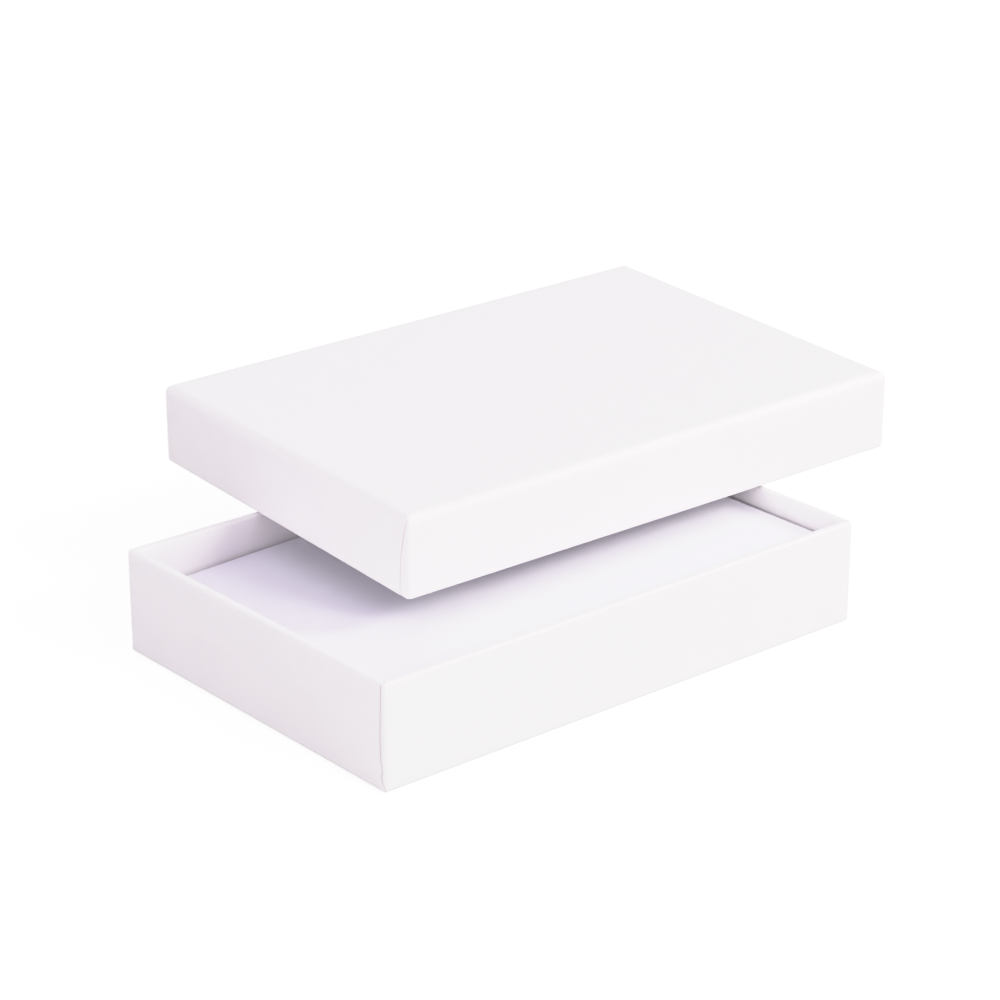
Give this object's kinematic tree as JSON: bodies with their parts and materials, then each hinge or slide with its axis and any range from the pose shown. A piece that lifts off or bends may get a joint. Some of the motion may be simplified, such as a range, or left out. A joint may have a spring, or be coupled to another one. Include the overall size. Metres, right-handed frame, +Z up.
{
  "type": "jewelry gift box",
  "caption": "Rigid two-piece gift box for jewelry: a shallow paper-wrapped tray with a flat foam insert, and a lift-off lid held askew above it.",
  "frame": {"origin": "middle of the tray's flat underside, where the box rests on a table", "axes": "+X along the tray's long side, -Y out of its front long wall, +Z up; the lid hangs above the tray towards +X and +Y"},
  "size_m": [0.1759, 0.1286, 0.0482],
  "materials": {
    "wrap_paper": "satin",
    "greyboard": "matte",
    "stay_paper": "matte",
    "liner_paper": "matte",
    "insert_foam": "matte",
    "insert_facing": "matte"
  },
  "bodies": {
    "tray": {"tray_wrap": "wrap_paper", "tray_board": "greyboard", "tray_corner_stay_front_left": "stay_paper", "tray_corner_stay_front_right": "stay_paper", "tray_corner_stay_back_left": "stay_paper", "tray_corner_stay_back_right": "stay_paper", "tray_floor_liner": "liner_paper"},
    "lid": {"lid_wrap": "wrap_paper", "lid_board": "greyboard", "lid_corner_stay_front_left": "stay_paper", "lid_corner_stay_front_right": "stay_paper", "lid_corner_stay_back_left": "stay_paper", "lid_corner_stay_back_right": "stay_paper", "lid_ceiling_liner": "liner_paper"},
    "insert": {"insert_foam": "insert_foam", "insert_facing": "insert_facing"}
  },
  "joints": [
    {"name": "lid_lift", "type": "slide", "parent": "tray", "child": "lid", "axis": [0, 0, 1], "range_m": [0, 0.08]},
    {"name": "insert_lift", "type": "slide", "parent": "tray", "child": "insert", "axis": [0, 0, 1], "range_m": [0, 0.04]}
  ],
  "couplings": [
    {"joint": "insert_lift", "follows": "lid_lift", "ratio": 0.5}
  ]
}
